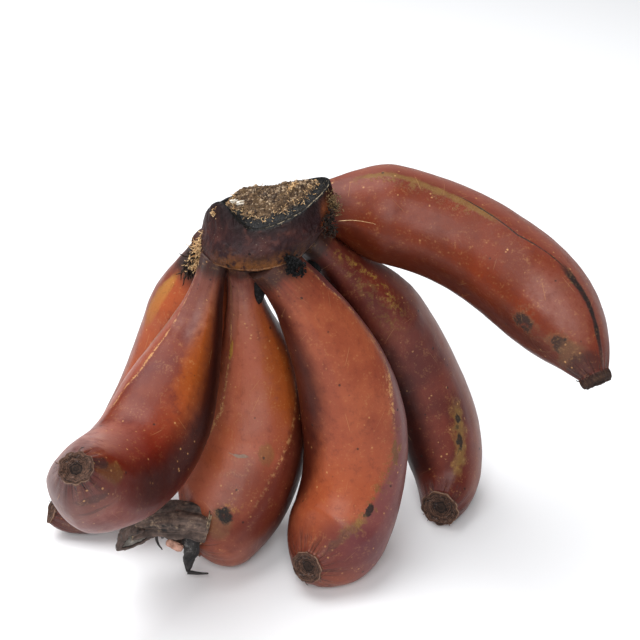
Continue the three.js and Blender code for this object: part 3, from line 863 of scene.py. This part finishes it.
def buildCrown():
    levels = len(crown) - 1
    sides = crownLook["sides"]
    steps = np.linspace(0, 1, crownLook["rows"])
    columns = throughPoints(list(crown.values()), steps, False)
    rows = np.array([throughPoints(row, np.arange(sides) / sides, True) for row in columns])
    layer = steps * levels
    middle = rows[-1].mean(0)
    inner = np.linspace(0, crownLook["inner"], crownLook["innerRows"])[1:]
    centre = rows[-1][None] * (1 - inner)[:, None, None] + middle * inner[:, None, None]
    rows = np.concatenate([rows, centre])
    layer = np.concatenate([layer, levels + inner])
    cut = smooth(layer, *crownLook["cut"])[:, None]
    rough = crownLook["flesh"] * grain(rows, crownLook["fleshScale"], 5)
    rough += crownLook["fleshFine"] * grain(rows, crownLook["fineScale"], 9)
    rough += crownLook["fleshDust"] * grain(rows, crownLook["dustScale"], 2)
    rows[:, :, 2] += rough * cut
    out = rows - rows.mean(1, keepdims=True)
    out[:, :, 2] = 0
    out /= np.maximum(np.linalg.norm(out, axis=2, keepdims=True), 1e-6)
    skin = crownLook["skin"] * (grain(rows * [1, 1, 0.35], 5, 3) + 0.6 * grain(rows, 1.8, 4))
    rows += out * (skin * (1 - cut))[:, :, None]
    readings = {"layer": evenRound(layer, sides),
                "round": np.repeat((np.arange(sides) / sides)[None], len(rows), 0)[:, :, None]}
    skinOver("crown_body", placed(rows), readings, crownFinish(), "crown")
    draw = random.Random(crownLook["seed"])
    places = []
    first = int(np.searchsorted(layer[:crownLook["rows"]], crownLook["crumbsFrom"]))
    for _ in range(crownLook["crumbs"]):
        row = draw.randrange(first, len(rows) - 4)
        spot = rows[row, draw.randrange(sides)]
        size = draw.uniform(*crownLook["crumbSize"]) * draw.choice([0.8, 1, 1.8])
        places.append((spot, [size * draw.uniform(0.7, 1.3) for _ in range(3)], draw.uniform(0, 50)))
    f = Finish("crown_crumb")
    tint = f.reading("tint")
    colour = f.blend(tint.step(0.2, 0.8), crownTones["fleshDark"], crownTones["flesh"])
    colour = f.blend((f.noise(1800, 3) + tint * 0.3).step(0.6, 0.9) * 0.6, colour, crownTones["dust"])
    crumbs = f.close({"Base Color": colour, "Roughness": 0.9,
                      "Normal": f.bump(f.noise(2500, 3), mm * 0.4, 0.8)})
    lumps("crown_crumbs", places, crumbs)
    return rows, layer


crownRows, crownLayer = buildCrown()
print("crown")


# Fibres: they start near a line, or on a layer of the crown, head one way and turn at random.
fibres = {
    "jute": {"count": 170, "line": ((-44.5, -58, 142), (-48.5, -57.5, 127)), "spread": 1.2,
             "heading": (-0.35, -0.4, -0.5), "length": (2.5, 7), "curl": 0.6, "thick": 0.24, "fine": 0.10,
             "tone": "gold"},
    "bark": {"count": 60, "line": ((-48, -56, 134), (-52, -54, 124)), "spread": 1.3,
             "heading": (-0.25, -0.5, -1), "length": (3, 8), "curl": 0.25, "thick": 0.55, "fine": 0.15,
             "tone": "black"},
    "fluff": {"count": 150, "line": ((3.5, -55, 156), (6, -55, 151)), "spread": 1.3,
              "heading": (0.5, -0.5, 0.1), "length": (1.5, 4), "curl": 0.7, "thick": 0.2, "fine": 0.08,
              "tone": "tan"},
    "crust": {"count": 130, "line": ((2.5, -58, 151), (4.5, -58, 142)), "spread": 1.4,
              "heading": (0.3, -0.6, -0.3), "length": (1, 3), "curl": 0.6, "thick": 0.36, "fine": 0.12,
              "tone": "black"},
    "splinters": {"count": 34, "line": ((-12, -51, 156.5), (-9.5, -45.5, 157.6)), "spread": 0.5,
                  "heading": (0.3, -0.5, 0.1), "length": (1.5, 3.2), "curl": 0.3, "thick": 0.26, "fine": 0.12,
                  "tone": "gold"},
    "shred": {"count": 12, "line": ((-34.2, -56, 154.4), (-30.5, -57.5, 153.8)), "spread": 0.35,
              "heading": (0.9, -0.1, 0.45), "length": (2, 4), "curl": 0.15, "thick": 0.42, "fine": 0.10,
              "tone": "pale"},
    "loops": {"count": 12, "line": ((-41, -61, 153), (-39, -62, 151)), "spread": 0.7,
              "heading": (0, -0.4, 0.5), "length": (3, 5), "curl": 0.9, "thick": 0.16, "fine": 0.08,
              "tone": "gold"},
    "hair": {"count": 1, "line": ((7, -58, 147), (7, -58, 147)), "spread": 0.01,
             "heading": (1, -0.35, 0.32), "length": (17, 17), "curl": 0.02, "thick": 0.14, "fine": 0.06,
             "tone": "gold"},
    "fringe": {"count": 220, "layer": (5.3, 6.1), "length": (1.0, 3.2), "curl": 0.5, "thick": 0.17,
               "tone": "gold"},
    "straws": {"count": 60, "layer": (6.1, 7.6), "length": (1.5, 5), "curl": 0.25, "thick": 0.18,
               "tone": "tan"},
}
fibreShades = {"gold": (paint(226, 194, 148), paint(164, 122, 80)),
               "tan": (paint(138, 112, 78), paint(64, 50, 36)),
               "black": (paint(58, 44, 36), paint(20, 17, 16)),
               "pale": (paint(246, 240, 230), paint(214, 200, 178))}


def buildFibres():
    draw = random.Random(5)
    strands = {tone: [] for tone in fibreShades}
    for kind in fibres.values():
        for _ in range(kind["count"]):
            if "line" in kind:
                first, last = [np.array(p, float) for p in kind["line"]]
                start = first + (last - first) * draw.random()
                start = start + np.array([draw.gauss(0, kind["spread"]) for _ in range(3)])
                heading = [h + draw.gauss(0, kind["curl"]) for h in kind["heading"]]
            else:
                low, high = [int(np.searchsorted(crownLayer, v)) for v in kind["layer"]]
                start = crownRows[draw.randrange(low, high), draw.randrange(crownRows.shape[1])]
                heading = [draw.gauss(0, 0.8), -0.6 + draw.gauss(0, 0.5), 0.25 + draw.gauss(0, 0.4)]
            strands[kind["tone"]].append(wander(
                draw, start, heading, draw.uniform(*kind["length"]), kind["curl"], 9,
                kind["thick"] * draw.uniform(0.6, 1.2), kind.get("fine", 0.06), sag=0.05))
    for tone, group in strands.items():
        finish = fibreFinish("crown_fibre_" + tone, *fibreShades[tone])
        tubes("crown_fibres_" + tone, group, finish, None, 5)


buildFibres()
print("fibres")


# A crinkled black remnant hangs from the crown's lip on to the neck of the front right finger. Its mesh also
# holds dark lumps in the gaps between the finger necks, set there as painted shade.
remnant = {"line": [(-13, -72.5, 139), (-10, -74.5, 138.5), (-7, -74, 137), (-6.5, -74.5, 134),
                    (-9, -74, 132.5), (-11.5, -73.5, 133.5), (-11, -73.5, 136), (-8.5, -73.5, 135.5)],
           "lumps": 420, "size": (0.2, 0.6), "spread": 0.7, "seed": 21,
           # cores off the line are dark lumps standing in for the shade between the necks
           "cores": [((-2, -47, 126), (4, 3, 7)), ((-10, -72.4, 136.8), (2.8, 1.2, 2.8)),
                     ((-24.2, -58, 121), (2.8, 2.2, 9)), ((-39, -58.5, 124), (1.6, 1.6, 8))]}


def buildRemnant():
    draw = random.Random(remnant["seed"])
    path = np.array(remnant["line"], float)
    places = []
    for _ in range(remnant["lumps"]):
        at = draw.random() * (len(path) - 1)
        step = int(at)
        spot = path[step] + (path[step + 1] - path[step]) * (at - step)
        spot = spot + np.array([draw.gauss(0, remnant["spread"]) for _ in range(3)])
        size = draw.uniform(*remnant["size"])
        places.append((spot, [size * draw.uniform(0.4, 1.2) for _ in range(3)], draw.uniform(0, 50)))
    for spot, size in remnant["cores"]:
        places.append((spot, size, draw.uniform(0, 50)))
    f = Finish("remnant")
    colour = f.blend((f.noise(900, 4, 0.6) - 0.5).step(0.0, 0.3), paint(12, 12, 13), paint(60, 60, 62))
    finish = f.close({"Base Color": colour, "Roughness": 0.5, "Specular IOR Level": 0.15,
                      "Normal": f.bump(f.noise(1500, 4, 0.6), mm * 0.5, 0.9)})
    lumps("neck_remnant", places, finish)


buildRemnant()
print("remnant")


flower = {
    "bract": {"path": [(-45, -93.5, 28.5), (-51, -93.5, 30.2), (-57.5, -93.2, 30.8), (-66.6, -93.5, 29.8),
                       (-74.5, -91.5, 25.5)],
              "widths": [6.4, 6.9, 7.7, 5.6, 5.6], "flatten": 0.9, "wall": 0.7, "seed": 2.0, "folds": 5,
              "ragged": 2.2, "twist": 2.0},
    "curl": {"path": [(-75.6, -90.5, 26.5), (-75.2, -94, 25.4), (-74.4, -98, 24.4)],
             "widths": [5.0, 7.2, 7.6], "flatten": 0.55, "wall": 2.2, "seed": 12.0, "folds": 3,
             "ragged": 0.15, "twist": 0.6, "roll": -32},
    "root": {"path": [(-50, -83.5, 18.5), (-57, -88, 22), (-62, -92, 28)],
             "widths": [6.3, 6.8, 5.0], "flatten": 0.9, "seed": 9.0, "folds": 6, "twist": 1.0},
    "tail": {"path": [(-51.5, -95.5, 27), (-52.6, -97, 19), (-53.2, -97, 13), (-54, -96.5, 7)],
             "widths": [3.0, 4.1, 3.2, 0.8], "flatten": 0.62, "seed": 6.0, "folds": 3, "twist": 1.0},
    # start, heading, length, curl, points, thickness at the root and at the end
    "filaments": [((-54.2, -97, 7), (1, -0.05, -0.22), 9.5, 0.03, 10, 0.95, 0.35),
                  ((-66.7, -93, 24), (0.12, -0.05, -1), 9, 0.10, 10, 0.8, 0.25),
                  ((-64, -93, 24), (0.1, -0.2, -1), 4.5, 0.2, 6, 1.1, 0.6)],
    "collar": {"layers": 4, "radius": 7.0, "turns": (200, 520), "points": 40, "wave": 0.35, "frayed": 0.5,
               "thick": 0.42, "thinning": 0.28},
    "blush": {"count": 3, "start": (-57.2, -97.0, 20.0), "step": (-1.5, 0.4, 0.7), "size": (2.1, 1.4, 1.9)},
}
flowerTones = {"leather": paint(110, 91, 82), "dark": paint(46, 37, 34), "pale": paint(178, 154, 124),
               "lip": paint(84, 68, 61), "lipDark": paint(38, 30, 28), "lipPale": paint(112, 94, 84),
               "char": paint(58, 54, 53), "black": paint(30, 30, 31), "charred_glint": paint(140, 138, 136),
               "hollow": paint(196, 190, 182), "pink": paint(206, 158, 138), "rose": paint(150, 108, 90)}


def flowerFinish(name, main, dark, pale, edgeTone=0.8):
    f = Finish(name)
    run = f.reading("run", "Vector")
    crease = f.noise(0.75, 4, 0.55, run) - 0.5
    mid, fine = f.noise(500, 4, 0.6) - 0.5, f.noise(2200, 3, 0.6) - 0.5
    blotch = f.noise(150, 3, 0.5, f.moved(0.4)) - 0.5
    colour = f.blend((crease * 1.1 + mid * 0.9).step(-0.34, 0.22), dark, main)
    colour = f.blend((blotch + mid * 0.5).step(0.02, 0.16) * 0.7, colour, dark)
    # the deepest creases are painted black: the bract's own dark colour and painted shade in the folds
    colour = f.blend((crease * 1.2 + mid * 0.8).step(-0.18, -0.32) * 0.85, colour, flowerTones["black"])
    colour = f.blend((mid + fine * 0.8 - blotch).step(0.16, 0.40) * 0.6, colour, pale)
    edge = f.reading("edge")
    colour = f.blend((edge + mid * 1.2).step(0.80, 1.05) * edgeTone, colour, pale)
    within = f.reading("inside")
    colour = f.blend(within.step(0.02, 0.3) * 0.9, colour, flowerTones["black"])
    colour = f.blend(within.step(0.4, 0.9) * (mid * 0.8 + 0.75), colour, flowerTones["hollow"])
    height = crease * 0.6 + mid * 0.25 + fine * 0.1
    return f.close({"Base Color": colour, "Roughness": 0.62, "Normal": f.bump(height, mm, 0.9),
                    "Specular IOR Level": 0.25})


def tubeFrame(path, count):
    spine = throughPoints([[p] for p in path], np.linspace(0, 1, count), False)[:, 0]
    ahead = np.gradient(spine, axis=0)
    ahead /= np.linalg.norm(ahead, axis=1, keepdims=True)
    side = np.cross(ahead, [0, 0, 1.0])
    side /= np.linalg.norm(side, axis=1, keepdims=True)
    return spine, ahead, side, np.cross(side, ahead)


def creasedTube(name, tube, material, node=None):
    # a leathery tube with long folds; one with a wall is open at its far end
    rowsOut, rowsBack, sides = 90, 60, 112
    roll = math.radians(tube.get("roll", 0))
    spine, ahead, side, up = tubeFrame(tube["path"], rowsOut)
    side, up = (side * math.cos(roll) + up * math.sin(roll), up * math.cos(roll) - side * math.sin(roll))
    share = np.linspace(0, 1, rowsOut)
    width = np.interp(share, np.linspace(0, 1, len(tube["widths"])), tube["widths"])
    seed = tube["seed"]
    angle = 2 * math.pi * np.arange(sides) / sides
    run = np.stack(np.broadcast_arrays(np.cos(angle)[None] * 1.6, np.sin(angle)[None] * 1.6,
                                       share[:, None] * 1.1 + seed), -1)
    crease = grain(run, 0.55, seed) + 0.5 * grain(run, 0.25, seed + 3)
    turning = tube["folds"] * angle[None] + tube["twist"] * share[:, None]
    fold = np.cos(turning + 1.5 * grain(run, 1.2, seed + 5))
    bulk = grain(run * [1, 1, 5], 0.9, seed + 9)
    reach = width[:, None] * (1 + 0.13 * fold + 0.16 * crease + 0.12 * bulk)
    reach = reach + 0.25 * grain(run, 0.1, seed + 8)
    shape = side[:, None] * (np.cos(angle)[None] * reach)[:, :, None]
    shape = shape + up[:, None] * (np.sin(angle)[None] * reach * tube["flatten"])[:, :, None]
    rows = spine[:, None] + shape
    if "ragged" in tube:
        push = tube["ragged"] * grain(run[-1:], 0.5, seed + 12) * smooth(share, 0.7, 1.0)[:, None]
        rows = rows + ahead[:, None] * push[:, :, None]
    inside = np.zeros(rowsOut)
    edge = smooth(share, 0.9, 1.0)
    if "wall" in tube:
        shrink = 1 - tube["wall"] / width
        inner = spine[:, None] + (rows - spine[:, None]) * shrink[:, None, None]
        rows = np.concatenate([rows, inner[::-1][:rowsBack]])
        run = np.concatenate([run, run[::-1][:rowsBack]])
        inside = np.concatenate([inside, smooth(np.arange(rowsBack), 0, 12)])
        edge = np.concatenate([edge, edge[::-1][:rowsBack] * 0.6])
    readings = {"run": run * [3, 3, 2], "inside": evenRound(inside, sides), "edge": evenRound(edge, sides)}
    return skinOver(name, placed(rows), readings, material, node)


def buildCollar(collar):  # torn layers round the root of the bract
    spine, _, side, up = tubeFrame(flower["bract"]["path"], 90)
    turns = np.radians(np.linspace(*collar["turns"], collar["points"]))
    middle = np.abs(np.linspace(-1, 1, collar["points"]))
    layers = []
    for index in range(collar["layers"]):
        station = 1 + index * 2
        frayed = np.stack([np.cos(turns) * 2, np.sin(turns) * 2, turns * 0 + index], -1)
        reach = collar["radius"] + collar["wave"] * index * (-1) ** index + collar["frayed"] * grain(
            frayed, 0.7, index)
        ring = spine[station] + side[station] * (np.cos(turns) * reach)[:, None]
        ring = ring + up[station] * (np.sin(turns) * reach * 1.05)[:, None]
        layers.append((ring, collar["thick"] - collar["thinning"] * middle))
    f = Finish("flower_collar")
    colour = f.blend((f.noise(420, 4, 0.6) - 0.5).step(-0.12, 0.12), flowerTones["dark"], flowerTones["pale"])
    finish = f.close({"Base Color": colour, "Roughness": 0.75,
                      "Normal": f.bump(f.noise(1800, 3), mm * 0.4, 0.8)})
    tubes("flower_collar", layers, finish, None, 6)


def buildBlush(blush):  # a soft lump that still has some colour
    f = Finish("flower_blush")
    colour = f.blend((f.noise(500, 3) - 0.5).step(-0.2, 0.2), flowerTones["rose"], flowerTones["pink"])
    finish = f.close({"Base Color": colour, "Roughness": 0.6,
                      "Normal": f.bump(f.noise(900, 3), mm * 0.4, 0.6)})
    start, step = np.array(blush["start"]), np.array(blush["step"])
    places = [(start + step * k, blush["size"], 3.0 + k) for k in range(blush["count"])]
    lumps("flower_blush", places, finish)


def buildFlower():
    tones = flowerTones
    leather = flowerFinish("flower_leather", tones["leather"], tones["dark"], tones["pale"])
    # the charred finish's pale tone is grey glints painted on the black tail and filaments, a painted
    # highlight
    charred = flowerFinish("flower_charred", tones["char"], tones["black"], tones["charred_glint"])
    lip = flowerFinish("flower_lip", tones["lip"], tones["lipDark"], tones["lipPale"], 0.2)
    creasedTube("flower_bract", flower["bract"], leather, "dried_flower")
    creasedTube("flower_curl", flower["curl"], lip)
    creasedTube("flower_root", flower["root"], leather)
    creasedTube("flower_tail", flower["tail"], charred)
    draw = random.Random(8)
    strands = [wander(draw, *filament) for filament in flower["filaments"]]
    tubes("flower_filaments", strands, charred, None, 8)
    buildCollar(flower["collar"])
    buildBlush(flower["blush"])


buildFlower()
print("flower")


studio = {
    "floorHalf": 4, "floorColour": (0.90, 0.91, 0.93), "floorRoughness": 0.6,
    "world": (1.0, 1.0, 1.0), "worldPower": 0.24,
    "key": {"place": (-0.45, 0.25, 1.25), "target": (0, 0, 0.05), "power": 26, "size": 1.3},
    "front": {"place": (-0.1, -1.1, 1.0), "target": (0, 0, 0.05), "power": 13, "size": 0.8},
    # camera: degrees down, place in mm, focal length and frame in pixels, sensor in mm, near and far in m
    "elevation": 30, "eye": (0, -502.3, 360), "focal": 1290, "frame": 640, "sensor": 36, "clip": (0.05, 20),
}


def softFloor():
    half = studio["floorHalf"]
    mesh = bpy.data.meshes.new("floor")
    corners = [(-half, -half, 0), (half, -half, 0), (half, half, 0), (-half, half, 0)]
    mesh.from_pydata(corners, [], [(0, 1, 2, 3)])
    floor = bpy.data.objects.new("floor", mesh)
    bpy.context.scene.collection.objects.link(floor)
    finish = Finish("floor")
    mesh.materials.append(finish.close({"Base Color": studio["floorColour"],
                                        "Roughness": studio["floorRoughness"]}))


def areaLight(name, place, target, power, size):
    lamp = bpy.data.lights.new(name, "AREA")
    lamp.energy, lamp.size = power, size
    holder = bpy.data.objects.new(name, lamp)
    holder.location = place
    holder.rotation_euler = (Vector(target) - Vector(place)).to_track_quat("-Z", "Y").to_euler()
    bpy.context.scene.collection.objects.link(holder)


softFloor()
for lampName in ("key", "front"):
    areaLight(lampName, *[studio[lampName][k] for k in ("place", "target", "power", "size")])
world = bpy.data.worlds.new("studio")
world.use_nodes = True
sky = world.node_tree.nodes["Background"]
sky.inputs["Color"].default_value = (*studio["world"], 1)
sky.inputs["Strength"].default_value = studio["worldPower"]
bpy.context.scene.world = world

camera = bpy.data.cameras.new("camera")
camera.sensor_width = studio["sensor"]
camera.lens = studio["sensor"] * studio["focal"] / studio["frame"]
camera.clip_start, camera.clip_end = studio["clip"]
eye = bpy.data.objects.new("camera", camera)
eye.location = tuple((np.array(studio["eye"]) + shift) * mm)
eye.rotation_euler = (math.radians(90 - studio["elevation"]), 0, 0)
bpy.context.scene.collection.objects.link(eye)
bpy.context.scene.camera = eye
bpy.context.scene.view_settings.view_transform = "Standard"
